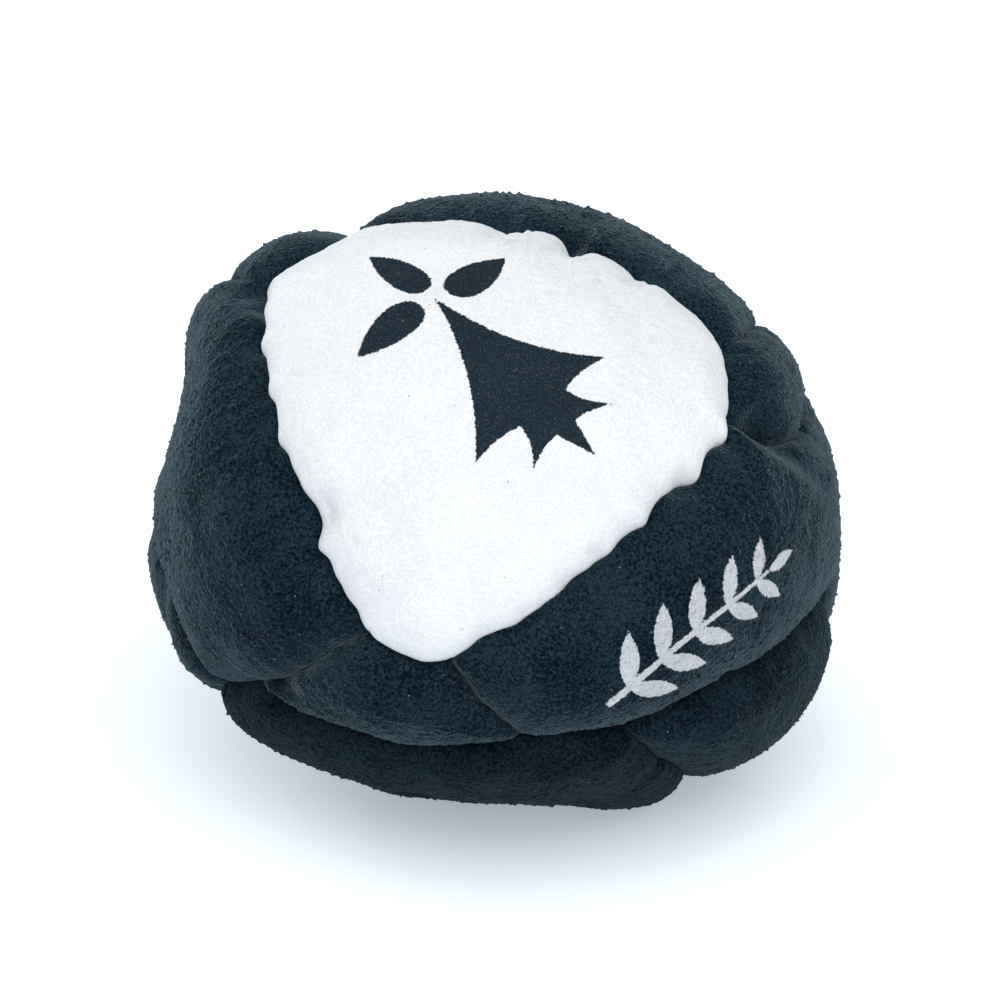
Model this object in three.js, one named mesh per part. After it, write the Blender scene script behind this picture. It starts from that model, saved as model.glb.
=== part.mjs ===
import * as THREE from "three";

// A filled footbag of fourteen suede panels, eight with six sides and six with four.
// Neighbouring panels are sewn edge to edge, so every seam is drawn in and every panel
// crowns between its seams. The filling slumps, and the bag rests flat on z = 0.
// Lengths are in millimetres, angles in degrees, and +Z is up.

// Sizes of the filled bag, measured from its middle
const halfWidth = 28.9; // along the leaning body, left to right
const halfDepth = 27.0; // front to back
const topHeight = 28.0; // middle to the top
const bottomDepth = 21.2; // middle to the underside, before the floor flattens it
const middleHeight = 20.0; // middle over the floor
const restOffset = 0.7; // resting point to the right of the middle

// Suede and seams
const suedeThickness = 0.9;
const allowanceDepth = 1.8; // turned-in seam allowance, below the suede
const seamGap = 0.3; // between two neighbouring panels
const grooveDepth = 2.0; // seam below the bag's round
const shoulderWidth = 5.0; // from the seam to where a panel has risen
const crownHeight = 0.9; // middle of a panel over the bag's round
const crownSpread = 7.0; // distance from the seam over which the crown grows
const foldDepth = 1.2; // deepest fold in a panel
const foldWidth = 1.7; // half width of a fold
const swellHeight = 2.4; // largest swell or hollow of the slumped filling

// Filling and thread
const fillingClearance = 0.5; // under the panels
const channelClearance = 1.0; // grains don't pack right up to the tips of the allowances
const threadDiameter = 0.3;
const threadClearance = 0.56; // thread over the two panel edges
const stitchHalfWidth = 0.3; // how far a stitch swings to each side of its seam
const facetLength = 3.1; // along a seam
const smallPanelSides = 4;
const measuringSteps = 12; // stretches of a seam that distances are measured to

// Lean of the body, and the way that the middle of the top panel faces
const bodyLean = -11.5;
const topPanelTilt = 53;
const topPanelTurn = 8;
const topSquarenessShare = 0.14; // nothing is an ellipse, more is squarer
const bottomSquarenessShare = -0.01;
const seamBlend = 6; // how sharply the deepest of the nearby seams prevails

// Worked out from the sizes above
const edgeInset = seamGap / 2;
const grooveFlat = edgeInset + stitchHalfWidth + threadDiameter / 2;
const allowanceInset = edgeInset + suedeThickness;
const middle = new THREE.Vector3(-restOffset, 0, middleHeight);
const meanRadius = (halfWidth + halfDepth + (topHeight + bottomDepth) / 2) / 3;

// Corners of the panels, as the angle from the top panel's middle and the turn round it.
// a corners ring the top panel, b corners lie on the belt, c corners ring the bottom panel.
const cornerAngles = [
  ["a0", 47.5, 8], ["a1", 50.5, 27], ["a2", 49, 124], ["a3", 49, 146.5], ["a4", 46, 250.5], ["a5", 48, 271],
  ["b0", 73, 18.5], ["b1", 80, 43.5], ["b2", 88, 64], ["b3", 88, 92], ["b4", 84, 118], ["b5", 77, 144],
  ["b6", 79.5, 183], ["b7", 78.5, 220], ["b8", 70.5, 228], ["b9", 66, 285], ["b10", 70.5, 304.5], ["b11", 92.5, 356.5],
  ["c0", 126, 62], ["c1", 126, 82], ["c2", 124, 182], ["c3", 120, 206], ["c4", 114, 320], ["c5", 118, 340],
];

// Each panel's corners, anticlockwise from outside
const panels = {
  top_panel: ["a0", "a1", "a2", "a3", "a4", "a5"],
  upper_small_right_panel: ["a0", "b0", "b1", "a1"],
  upper_small_left_panel: ["a2", "b4", "b5", "a3"],
  upper_small_front_panel: ["a4", "b8", "b9", "a5"],
  upper_large_back_panel: ["a1", "b1", "b2", "b3", "b4", "a2"],
  upper_large_left_panel: ["a3", "b5", "b6", "b7", "b8", "a4"],
  upper_large_right_panel: ["a5", "b9", "b10", "b11", "b0", "a0"],
  lower_small_back_panel: ["b2", "c0", "c1", "b3"],
  lower_small_left_panel: ["b6", "c2", "c3", "b7"],
  lower_small_right_panel: ["b10", "c4", "c5", "b11"],
  lower_large_right_panel: ["b0", "b11", "c5", "c0", "b2", "b1"],
  lower_large_left_panel: ["b4", "b3", "c1", "c2", "b6", "b5"],
  lower_large_front_panel: ["b8", "b7", "c3", "c4", "b10", "b9"],
  bottom_panel: ["c0", "c5", "c4", "c3", "c2", "c1"],
};

// Seams that bow sideways: degrees to the left on the way from the first corner to the second
const bowAngles = [
  ["a1", "a2", -7.3], ["a2", "a3", 4.3], ["a3", "a4", 2.2], ["a4", "a5", -1.8], ["a5", "a0", -1.6],
  ["a4", "b8", 0.8], ["b8", "b9", -3.5], ["a0", "b0", -3.7], ["b0", "b1", -3.5], ["b10", "b11", 3.5], ["b11", "b0", -3],
  ["b6", "b7", 6.5], ["c1", "c2", 9], ["c3", "c4", 9], ["c5", "c0", 9],
];

// Seams that lie deeper than the rest, as shares of the groove's depth
const deepSeamShares = [
  ["b8", "b9", 0.2], ["b9", "b10", 0.3], ["b10", "b11", 0.45], ["a0", "b0", 0.1], ["b0", "b1", -0.1],
  ["b7", "b8", 0.3], ["b11", "b0", -0.2], ["a3", "b5", -0.4], ["a1", "b1", -0.45],
];

// Swells and hollows of the slumped filling: angle, turn, share of the height, spread in degrees
const swellShares = [
  [55, 141, 0.7, 17], [59, 129, -0.3, 13], [64, 150, 0.6, 13], // left shoulder
  [68, 170, -0.85, 13], // hollow below it
  [78, 184, 0.2, 10], [84, 212, 0.8, 16], [90, 206, -0.7, 13], // lower left
  [103, 281, -1.0, 28], [107, 243, -0.65, 13], [112, 264, -0.5, 13], // front, drawn in towards the floor
  [101, 325, 0.4, 18], [112, 307, 0.45, 13], [107, 327, -0.25, 13], [100, 346, 0.25, 13], // lower right
  [66, 52, -0.33, 16], [82, 22, -0.25, 13], [73, 40, 0.25, 13], // right shoulder
];

// Folds in the panels: angle and turn at each end, then the depth there as shares
const foldShares = [
  [[31, 226], [41, 218], 0.9, 0.3], // left panel, by the top panel's edge
  [[36, 67], [57, 73], 1.1, 0.3], // back panel, from a notch in the top panel's edge
  [[35, 86], [47, 88.5], 0.7, 0.2], // next notch to the left
  [[44, 150], [56, 151], 0.4, 0.3], // left panel, high up
  [[73, 196], [82, 207], 0.4, 0.6], // small left panel
  [[66, 234], [61.5, 250], 0.4, 0.2], // small front panel
  [[41, 345.5], [50, 349], 0.6, 0.1], // right panel, by the top panel's edge
  [[51, 6], [66, 0.5], 0.9, 0.4], // right panel, beside the small panel
  [[92, 236], [88, 262], 0.3, 0.5], // front panel
  [[106, 62], [112, 30], 0.5, 0.3], // lower right, behind
  [[104, 128], [112, 150], 0.5, 0.3], // lower left, behind
];

const mitreLimitShare = 1.8; // of the distance that the sides move
const largePanelShares = [0.92, 0.82, 0.64, 0.36];
const smallPanelShares = [0.8, 0.54, 0.26];
const largeLiningShares = [0.7, 0.38];
const smallLiningShares = [0.45];

const charcoal = new THREE.MeshStandardMaterial({ color: 0x23272c, roughness: 0.95, metalness: 0 });
const white = new THREE.MeshStandardMaterial({ color: 0xe9ebee, roughness: 0.9, metalness: 0 });
const grains = new THREE.MeshStandardMaterial({ color: 0xb9b2a3, roughness: 0.7, metalness: 0 });
const sewingThread = new THREE.MeshStandardMaterial({ color: 0x15181b, roughness: 0.6, metalness: 0 });

// Directions from the bag's middle

const tilt = THREE.MathUtils.degToRad(topPanelTilt);
const turn = THREE.MathUtils.degToRad(topPanelTurn);
const topWay = new THREE.Vector3(-Math.sin(turn) * Math.cos(tilt), -Math.cos(turn) * Math.cos(tilt), Math.sin(tilt));
const rightWay = new THREE.Vector3(Math.cos(turn), -Math.sin(turn), 0);
const backWay = new THREE.Vector3().crossVectors(topWay, rightWay);

function wayOf([angle, turnRound]) {
  const a = THREE.MathUtils.degToRad(angle);
  const t = THREE.MathUtils.degToRad(turnRound);
  return new THREE.Vector3()
    .addScaledVector(topWay, Math.cos(a))
    .addScaledVector(rightWay, Math.sin(a) * Math.cos(t))
    .addScaledVector(backWay, Math.sin(a) * Math.sin(t));
}

const cornerWays = new Map(cornerAngles.map(([name, angle, turnRound]) => [name, wayOf([angle, turnRound])]));

function seamName(from, to) {
  return from < to ? `${from} ${to}` : `${to} ${from}`;
}

// Reads a table of seams into a map, with the sign for the seam's own direction
function seamTable(rows, turnsSign) {
  const table = new Map();
  for (const [from, to, value] of rows) {
    table.set(seamName(from, to), turnsSign && from > to ? -value : value);
  }
  return table;
}

const bowOf = seamTable(bowAngles, true);
const extraDepthShareOf = seamTable(deepSeamShares, false);

// Directions along a seam at the given shares of its way, from its first corner by name
function seamWays(name, shares) {
  const [from, to] = name.split(" ").map((corner) => cornerWays.get(corner));
  const angle = from.angleTo(to);
  const left = new THREE.Vector3().crossVectors(from, to).normalize();
  const bow = THREE.MathUtils.degToRad(bowOf.get(name) ?? 0);
  return shares.map((share) => {
    const way = new THREE.Vector3()
      .addScaledVector(from, Math.sin((1 - share) * angle) / Math.sin(angle))
      .addScaledVector(to, Math.sin(share * angle) / Math.sin(angle));
    return way.addScaledVector(left, 4 * bow * share * (1 - share)).normalize();
  });
}

function evenShares(count) {
  return Array.from({ length: count + 1 }, (_, i) => i / count);
}

function seamLength(name) {
  const [from, to] = name.split(" ").map((corner) => cornerWays.get(corner));
  return from.angleTo(to) * meanRadius;
}

// All seams once, each with a fine run of directions for measuring distances
const seams = new Map();
for (const loop of Object.values(panels)) {
  loop.forEach((corner, i) => {
    const name = seamName(corner, loop[(i + 1) % loop.length]);
    if (seams.has(name)) return;
    const depth = grooveDepth * (1 + (extraDepthShareOf.get(name) ?? 0));
    seams.set(name, { ways: seamWays(name, evenShares(measuringSteps)), depth });
  });
}

// Distance from a direction to a run of directions, measured on the mean sphere
const segment = new THREE.Line3();
const nearest = new THREE.Vector3();
function distanceToRun(way, run) {
  let least = Infinity;
  for (let i = 0; i + 1 < run.length; i += 1) {
    segment.set(run[i], run[i + 1]).closestPointToPoint(way, true, nearest);
    least = Math.min(least, nearest.distanceTo(way));
  }
  return least * meanRadius;
}

// Surface of the bag

// The slumped body without panels: two half forms that meet at its leaning girth
function bodyRadius(way) {
  const lean = THREE.MathUtils.degToRad(bodyLean);
  const along = way.x * Math.cos(lean) + way.z * Math.sin(lean);
  const up = way.z * Math.cos(lean) - way.x * Math.sin(lean);
  const roundness = 2 * (1 + (up > 0 ? topSquarenessShare : bottomSquarenessShare));
  const height = up > 0 ? topHeight : bottomDepth;
  const flat = Math.hypot(along / halfWidth, way.y / halfDepth);
  return (flat ** roundness + Math.abs(up / height) ** roundness) ** (-1 / roundness);
}

function swellAt(way) {
  let sum = 0;
  for (const [angle, turnRound, share, spread] of swellShares) {
    const away = way.angleTo(wayOf([angle, turnRound])) / THREE.MathUtils.degToRad(spread);
    sum += swellHeight * share * Math.exp(-away * away);
  }
  return sum;
}

function foldAt(way) {
  let sum = 0;
  for (const [start, end, startShare, endShare] of foldShares) {
    segment.set(wayOf(start), wayOf(end));
    const share = segment.closestPointToPointParameter(way, true);
    const away = (segment.at(share, nearest).distanceTo(way) * meanRadius) / foldWidth;
    sum += foldDepth * THREE.MathUtils.lerp(startShare, endShare, share) * Math.exp(-away * away);
  }
  return sum;
}

// Seams draw the suede in: a panel leaves its seam steeply and rounds over at its shoulder
function seamRelief(way) {
  let groove = 0;
  let least = Infinity;
  for (const { ways, depth } of seams.values()) {
    const away = distanceToRun(way, ways);
    least = Math.min(least, away);
    const rise = THREE.MathUtils.clamp((away - grooveFlat) / shoulderWidth, 0, 1);
    groove += (depth * (1 - Math.sqrt(1 - (1 - rise) ** 2))) ** seamBlend;
  }
  const crown = crownHeight * (1 - Math.exp(-((least / crownSpread) ** 2)));
  return crown - groove ** (1 / seamBlend);
}

// Outside of the suede, flat where it rests on the floor
function suedeRadius(way) {
  const free = bodyRadius(way) + swellAt(way) - foldAt(way) + seamRelief(way);
  return way.z < 0 ? Math.min(free, middleHeight / -way.z) : free;
}

function pointAt(way, radius) {
  const point = middle.clone().addScaledVector(way, radius);
  if (Math.abs(point.z) < seamGap / 100) point.z = 0; // exactly on the floor
  return point;
}

// Panel outlines

// Directions along a seam, a facet apart, from one corner to the other
function seamLine(from, to) {
  const name = seamName(from, to);
  const count = Math.max(1, Math.round(seamLength(name) / facetLength));
  const ways = seamWays(name, evenShares(count));
  return from < to ? ways : ways.reverse();
}

function panelOutline(name) {
  const loop = panels[name];
  return loop.flatMap((corner, i) => seamLine(corner, loop[(i + 1) % loop.length]).slice(0, -1));
}

// The outline moved to the panel's inside by a distance, with mitred corners, sharp ones trimmed
function insetOutline(outline, distance) {
  const count = outline.length;
  return outline.map((way, i) => {
    const before = way.clone().sub(outline[(i + count - 1) % count]).normalize();
    const after = outline[(i + 1) % count].clone().sub(way).normalize();
    const sideBefore = before.cross(way).negate();
    const sideAfter = after.cross(way).negate();
    const mitre = 1 + sideBefore.dot(sideAfter);
    const step = sideBefore.add(sideAfter).divideScalar(mitre).clampLength(0, mitreLimitShare);
    return way.clone().addScaledVector(step, distance / meanRadius).normalize();
  });
}

function middleWay(outline) {
  return outline.reduce((sum, way) => sum.add(way), new THREE.Vector3()).normalize();
}

// The outline drawn towards the panel's middle, to a share of its size
function shrunkOutline(outline, share) {
  const centre = middleWay(outline);
  return outline.map((way) => centre.clone().lerp(way, share).normalize());
}

// Solids from stacked rings

class Solid {
  constructor() {
    this.positions = [];
    this.indices = [];
    this.known = new Map();
  }

  vertex(point) {
    const name = point.toArray().map((value) => value.toFixed(5)).join(" ");
    if (!this.known.has(name)) {
      this.known.set(name, this.positions.length / 3);
      this.positions.push(...point.toArray());
    }
    return this.known.get(name);
  }

  face(a, b, c) {
    const [i, j, k] = [a, b, c].map((point) => this.vertex(point));
    if (i !== j && j !== k && k !== i) this.indices.push(i, j, k);
  }

  // Joins rings of points in order; a ring of one point closes an end.
  // The rings turn anticlockwise where the stack widens, or clockwise if it starts outside.
  rings(stack, startsOutside = false) {
    const join = (a, b, c) => (startsOutside ? this.face(a, c, b) : this.face(a, b, c));
    for (let level = 0; level + 1 < stack.length; level += 1) {
      const [first, second] = [stack[level], stack[level + 1]];
      const count = Math.max(first.length, second.length);
      for (let i = 0; i < count; i += 1) {
        const j = (i + 1) % count;
        if (second.length > 1) join(first[i % first.length], second[i], second[j]);
        if (first.length > 1) join(first[i], second[j % second.length], first[j]);
      }
    }
  }

  geometry() {
    const geometry = new THREE.BufferGeometry();
    geometry.setAttribute("position", new THREE.Float32BufferAttribute(this.positions, 3));
    geometry.setIndex(this.indices);
    geometry.computeVertexNormals();
    return geometry;
  }
}

function ringAt(ways, radiusOf) {
  return ways.map((way, i) => pointAt(way, radiusOf(way, i)));
}

// Radius of a panel's edge at each outline point; its turned-in tip is measured from there
function edgeRadii(outline) {
  return outline.map((way) => suedeRadius(way));
}

// One crowned panel: suede outside, edges turned in along the seams, lining side inside
function panelGeometry(name) {
  const outline = panelOutline(name);
  const large = panels[name].length > smallPanelSides;
  const shares = large ? largePanelShares : smallPanelShares;
  const liningShares = large ? largeLiningShares : smallLiningShares;
  const edge = insetOutline(outline, edgeInset);
  const flatEnd = insetOutline(outline, grooveFlat);
  const allowance = insetOutline(outline, allowanceInset);
  const edgeRadius = edgeRadii(outline);
  const tip = (_, i) => edgeRadius[i] - suedeThickness - allowanceDepth;
  const onEdge = (_, i) => edgeRadius[i];
  const lining = (way) => suedeRadius(way) - suedeThickness;
  const centre = [middleWay(outline)];
  const solid = new Solid();
  solid.rings([
    ringAt(centre, suedeRadius),
    ...[...shares].reverse().map((share) => ringAt(shrunkOutline(outline, share), suedeRadius)),
    ringAt(flatEnd, suedeRadius),
    ringAt(edge, onEdge),
    ringAt(edge, tip),
    ringAt(allowance, tip),
    ringAt(allowance, lining),
    ...liningShares.map((share) => ringAt(shrunkOutline(outline, share), lining)),
    ringAt(centre, lining),
  ]);
  return solid.geometry();
}

// The filling: the space inside all panels, channelled where the allowances stand into it
function fillingGeometry() {
  const solid = new Solid();
  for (const name of Object.keys(panels)) {
    const outline = panelOutline(name);
    const liningShares = panels[name].length > smallPanelSides ? largeLiningShares : smallLiningShares;
    const allowance = insetOutline(outline, allowanceInset);
    const bank = insetOutline(outline, allowanceInset + fillingClearance);
    const edgeRadius = edgeRadii(outline);
    const channel = (_, i) => edgeRadius[i] - suedeThickness - allowanceDepth - channelClearance;
    const under = (way) => suedeRadius(way) - suedeThickness - fillingClearance;
    solid.rings([
      ringAt(outline, channel),
      ringAt(bank, channel),
      ringAt(bank, (_, i) => under(allowance[i])),
      ...liningShares.map((share) => ringAt(shrunkOutline(outline, share), under)),
      ringAt([middleWay(outline)], under),
    ], true);
  }
  return solid.geometry();
}

// Thread

// A tube of square section along points that each carry the way out of the bag
function threadGeometry(points, ways, closed) {
  const count = points.length;
  const radius = threadDiameter / 2;
  const rings = points.map((point, i) => {
    const before = points[closed ? (i + count - 1) % count : Math.max(i - 1, 0)];
    const after = points[closed ? (i + 1) % count : Math.min(i + 1, count - 1)];
    const along = after.clone().sub(before).normalize();
    const side = new THREE.Vector3().crossVectors(along, ways[i]).normalize();
    const out = new THREE.Vector3().crossVectors(side, along);
    return [side, out, side.clone().negate(), out.clone().negate()].map((step) =>
      point.clone().addScaledVector(step, radius));
  });
  const solid = new Solid();
  solid.rings(closed ? [...rings, rings[0]] : [[points[0]], ...rings, [points[count - 1]]]);
  return solid.geometry();
}

// Stitches swing from side to side over a run of seams, given by their corners in order.
// A side seam's thread starts and ends half a facet from its corners.
function stitch(route, closed) {
  const points = [];
  const ways = [];
  const lay = (a, b, share, swing) => {
    const way = a.clone().lerp(b, share).normalize();
    const across = new THREE.Vector3().crossVectors(way, b).normalize();
    const [start, end] = [a, b].map((edge) => pointAt(edge, suedeRadius(edge)));
    const height = threadClearance + threadDiameter / 2;
    points.push(start.lerp(end, share).addScaledVector(way, height).addScaledVector(across, swing));
    ways.push(way);
  };
  for (let leg = 0; leg + 1 < route.length; leg += 1) {
    const line = seamLine(route[leg], route[leg + 1]);
    for (let i = 0; i + 1 < line.length; i += 1) {
      const side = i % 2 === 0 ? 1 : -1;
      if (closed || i > 0) lay(line[i], line[i + 1], 0, 0);
      lay(line[i], line[i + 1], 0.5, side * stitchHalfWidth);
    }
  }
  return threadGeometry(points, ways, closed);
}

const loops = {
  top_seam_thread: ["a0", "a1", "a2", "a3", "a4", "a5", "a0"],
  belt_seam_thread: ["b0", "b1", "b2", "b3", "b4", "b5", "b6", "b7", "b8", "b9", "b10", "b11", "b0"],
  bottom_seam_thread: ["c0", "c1", "c2", "c3", "c4", "c5", "c0"],
};

const sideSeams = {
  upper_seam_thread: [["a0", "b0"], ["a1", "b1"], ["a2", "b4"], ["a3", "b5"], ["a4", "b8"], ["a5", "b9"]],
  lower_seam_thread: [["b2", "c0"], ["b3", "c1"], ["b6", "c2"], ["b7", "c3"], ["b10", "c4"], ["b11", "c5"]],
};

// The whole bag

const footbag = new THREE.Group();

function addPiece(name, geometry, material) {
  const mesh = new THREE.Mesh(geometry, material);
  mesh.name = name;
  footbag.add(mesh);
}

for (const name of Object.keys(panels)) {
  addPiece(name, panelGeometry(name), name === "top_panel" ? white : charcoal);
}
addPiece("filling", fillingGeometry(), grains);
for (const [name, route] of Object.entries(loops)) {
  addPiece(name, stitch(route, true), sewingThread);
}
for (const [name, routes] of Object.entries(sideSeams)) {
  routes.forEach((route, i) => addPiece(`${name}_${i + 1}`, stitch(route, false), sewingThread));
}

export default footbag;
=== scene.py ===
"""A stitched suede footbag at rest: crowned panels, drawn-in seams, prints and a plain studio.

Everything is in metres, in the frame of the packed solids, with +Z up.
"""

import math

import bpy
import numpy as np
from bpy.props import FloatProperty, FloatVectorProperty, IntProperty, PointerProperty
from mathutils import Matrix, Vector


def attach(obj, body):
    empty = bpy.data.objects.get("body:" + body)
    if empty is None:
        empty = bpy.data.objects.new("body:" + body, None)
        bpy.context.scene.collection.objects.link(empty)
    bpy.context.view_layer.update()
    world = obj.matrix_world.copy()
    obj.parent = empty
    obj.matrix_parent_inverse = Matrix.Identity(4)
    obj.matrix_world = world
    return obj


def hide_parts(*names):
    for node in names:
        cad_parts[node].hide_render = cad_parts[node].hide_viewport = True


bl_info = {
    "name": "Stitched Footbag",
    "version": (1, 0, 0),
    "blender": (4, 5, 0),
    "location": "View3D > Sidebar > Footbag",
    "description": "Builds a stitched suede footbag around its packed solids",
    "category": "Add Mesh",
}

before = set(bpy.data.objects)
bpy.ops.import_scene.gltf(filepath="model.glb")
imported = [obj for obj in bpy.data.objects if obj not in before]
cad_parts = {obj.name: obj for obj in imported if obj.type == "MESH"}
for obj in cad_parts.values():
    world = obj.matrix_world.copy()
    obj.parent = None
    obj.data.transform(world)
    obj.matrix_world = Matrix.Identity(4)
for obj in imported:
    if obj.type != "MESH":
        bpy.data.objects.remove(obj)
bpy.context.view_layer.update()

MM = 0.001
BODY = "root"
PRINT_REACH = 24 * MM

# Panel corners in degrees: the angle from the top panel's middle, and the turn round it
CORNER_ANGLES = {
    "a0": (47.5, 8), "a1": (50.5, 27), "a2": (49, 124), "a3": (49, 146.5), "a4": (46, 250.5), "a5": (48, 271),
    "b0": (73, 18.5), "b1": (80, 43.5), "b2": (88, 64), "b3": (88, 92), "b4": (84, 118), "b5": (77, 144),
    "b6": (79.5, 183), "b7": (78.5, 220), "b8": (70.5, 228),
    "b9": (66, 285), "b10": (70.5, 304.5), "b11": (92.5, 356.5),
    "c0": (126, 62), "c1": (126, 82), "c2": (124, 182), "c3": (120, 206), "c4": (114, 320), "c5": (118, 340),
}

# Each panel's corners, anticlockwise from outside
WHITE_PANELS = {"top_panel": ("a0", "a1", "a2", "a3", "a4", "a5")}
LARGE_PANELS = {
    "upper_large_back_panel": ("a1", "b1", "b2", "b3", "b4", "a2"),
    "upper_large_left_panel": ("a3", "b5", "b6", "b7", "b8", "a4"),
    "upper_large_right_panel": ("a5", "b9", "b10", "b11", "b0", "a0"),
    "lower_large_right_panel": ("b0", "b11", "c5", "c0", "b2", "b1"),
    "lower_large_left_panel": ("b4", "b3", "c1", "c2", "b6", "b5"),
    "lower_large_front_panel": ("b8", "b7", "c3", "c4", "b10", "b9"),
    "bottom_panel": ("c0", "c5", "c4", "c3", "c2", "c1"),
}
SMALL_PANELS = {
    "upper_small_right_panel": ("a0", "b0", "b1", "a1"),
    "upper_small_left_panel": ("a2", "b4", "b5", "a3"),
    "upper_small_front_panel": ("a4", "b8", "b9", "a5"),
    "lower_small_back_panel": ("b2", "c0", "c1", "b3"),
    "lower_small_left_panel": ("b6", "c2", "c3", "b7"),
    "lower_small_right_panel": ("b10", "c4", "c5", "b11"),
}
PANELS = {**WHITE_PANELS, **LARGE_PANELS, **SMALL_PANELS}

# Degrees that a seam bows to the left of the way from its first corner to its second
BOW_ANGLES = {
    ("a1", "a2"): -8.1, ("a2", "a3"): 4.3, ("a3", "a4"): 2.2, ("a4", "a5"): -1.8, ("a0", "a5"): 1.6,
    ("a4", "b8"): 0.8, ("b8", "b9"): -3.5, ("a0", "b0"): -3.7, ("b0", "b1"): -3.5, ("b10", "b11"): 3.5,
    ("b0", "b11"): 3, ("b6", "b7"): 6.5, ("c1", "c2"): 9, ("c3", "c4"): 9, ("c0", "c5"): -9,
}

# How much deeper a seam lies than the rest
DEEP_SEAM_SHARES = {
    ("b8", "b9"): 0.2, ("b10", "b9"): 0.3, ("b10", "b11"): 0.45, ("a0", "b0"): 0.1, ("b0", "b1"): -0.1,
    ("b7", "b8"): 0.3, ("b0", "b11"): -0.2, ("a3", "b5"): -0.4, ("a1", "b1"): -0.45,
}

# Places where a seam is nipped in sideways: share of its way, then shift and half width as shares of a stitch
SEAM_NIPS = {
    ("a1", "a2"): ((0.25, 0.22, 0.18), (0.43, 0.36, 0.2), (0.6, 0.28, 0.18)),
    ("a0", "a5"): ((0.06, 0.2, 0.3), (0.13, -0.08, 0.25), (0.2, 0.2, 0.3), (0.39, 0.13, 0.22)),
    ("a3", "a4"): (
        (0.1, -0.09, 0.3), (0.22, -0.09, 0.25), (0.36, -0.08, 0.25), (0.49, -0.08, 0.25),
        (0.76, -0.19, 0.26)),
}

# Swells and hollows of the slumped filling: angle, turn, share of the height, spread in degrees
SWELL_SHARES = (
    (55, 141, 0.7, 17), (68, 170, -0.85, 13), (84, 212, 0.8, 16), (103, 281, -1.0, 28), (101, 325, 0.4, 18),
    (66, 52, -0.33, 16), (82, 22, -0.25, 13), (73, 40, 0.25, 13), (59, 129, -0.3, 13), (64, 150, 0.6, 13),
    (78, 184, 0.2, 10), (90, 206, -0.7, 13), (107, 243, -0.65, 13), (112, 264, -0.5, 13),
    (112, 307, 0.45, 13), (107, 327, -0.25, 13), (100, 346, 0.25, 13),
)

# Folds in the panels: angle and turn at each end, the depth there as shares, and the width as a share
FOLD_SHARES = (
    ((31, 226), (41, 218), 0.9, 0.3, 0.75), ((36, 67), (57, 73), 1.2, 0.3, 0.7),
    ((35, 86), (47, 88.5), 0.8, 0.2, 0.7), ((38, 48), (48, 53), 0.5, 0.1, 0.7),
    ((44, 150), (56, 151), 0.4, 0.3, 0.8), ((73, 196), (82, 207), 0.4, 0.6, 0.8),
    ((66, 234), (61.5, 250), 0.4, 0.2, 0.7), ((41, 345.5), (50, 349), 0.6, 0.1, 0.7),
    ((53, 9), (68, 5), 0.9, 0.4, 0.9), ((46, 149), (52, 149), 0.4, 0.2, 0.6),
    ((36.5, 315), (41, 314), 0.4, 0.1, 0.5), ((38.5, 303), (42.5, 302.5), 0.3, 0.1, 0.5),
    ((92, 236), (88, 262), 0.3, 0.5, 1), ((106, 62), (112, 30), 0.5, 0.3, 1),
    ((104, 128), (112, 150), 0.5, 0.3, 1),
)

# Thread runs of the solids, each with its corners in order
THREAD_RUNS = {
    "top_seam_thread": ("a0", "a1", "a2", "a3", "a4", "a5", "a0"),
    "belt_seam_thread": ("b0", "b1", "b2", "b3", "b4", "b5", "b6", "b7", "b8", "b9", "b10", "b11", "b0"),
    "bottom_seam_thread": ("c0", "c1", "c2", "c3", "c4", "c5", "c0"),
}
UPPER_RUNS = (("a0", "b0"), ("a1", "b1"), ("a2", "b4"), ("a3", "b5"), ("a4", "b8"), ("a5", "b9"))
LOWER_RUNS = (("b2", "c0"), ("b3", "c1"), ("b6", "c2"), ("b7", "c3"), ("b10", "c4"), ("b11", "c5"))
for level, runs in (("upper", UPPER_RUNS), ("lower", LOWER_RUNS)):
    for number, run in enumerate(runs, 1):
        THREAD_RUNS[f"{level}_seam_thread_{number}"] = run

# Waves along a seam, each with how fast it runs and its size, and what their sum is divided by
SEAM_WAVES = ((1.3, 1.0), (2.4, 0.8), (5.1, 0.45), (9.7, 0.2))
WAVE_DIVISOR = 2.7

# How sharply the deepest of the nearby seams prevails
SEAM_BLEND = 6

# Least divisor of a corner's mitre, which trims sharp corners
LEAST_MITRE = 0.6

# Rings of a panel's lining side, as shares of the way from its middle to its outline
LINING_SHARES = (0.86, 0.5)

# A stitch's path in widths of the thread: over the suede's edges, between them, and to the seam's side
STITCH_OVER, STITCH_BETWEEN, STITCH_ASIDE = 0.6, -1.2, 0.5

# Places on the bag, and turns on their panels in degrees, of the two prints
SPOT_PLACE, SPOT_TURN = (13.5, 113.2), 61.5
SPRIG_PANEL, SPRIG_PLACE, SPRIG_TURN = "upper_large_right_panel", (58, 326), 8

# Lower panels darkened with painted shade, where less light falls on them: material, share of the dark
# colours, and sheen
PAINTED_SHADE_PANELS = {
    "lower_large_front_panel": ("Dark Suede Deep", 0.65, 0.13),
    "lower_small_right_panel": ("Dark Suede Low", 0.8, 0.22),
}

# Lights: name, place, width in metres and power in watts
SOFTBOXES = (
    ("overhead_softbox", (0.1, -0.44, 0.67), 1.0, 6.4),
    ("left_softbox", (-0.5, 0.4, 0.3), 0.5, 1.8),
)


# Settings


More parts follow.
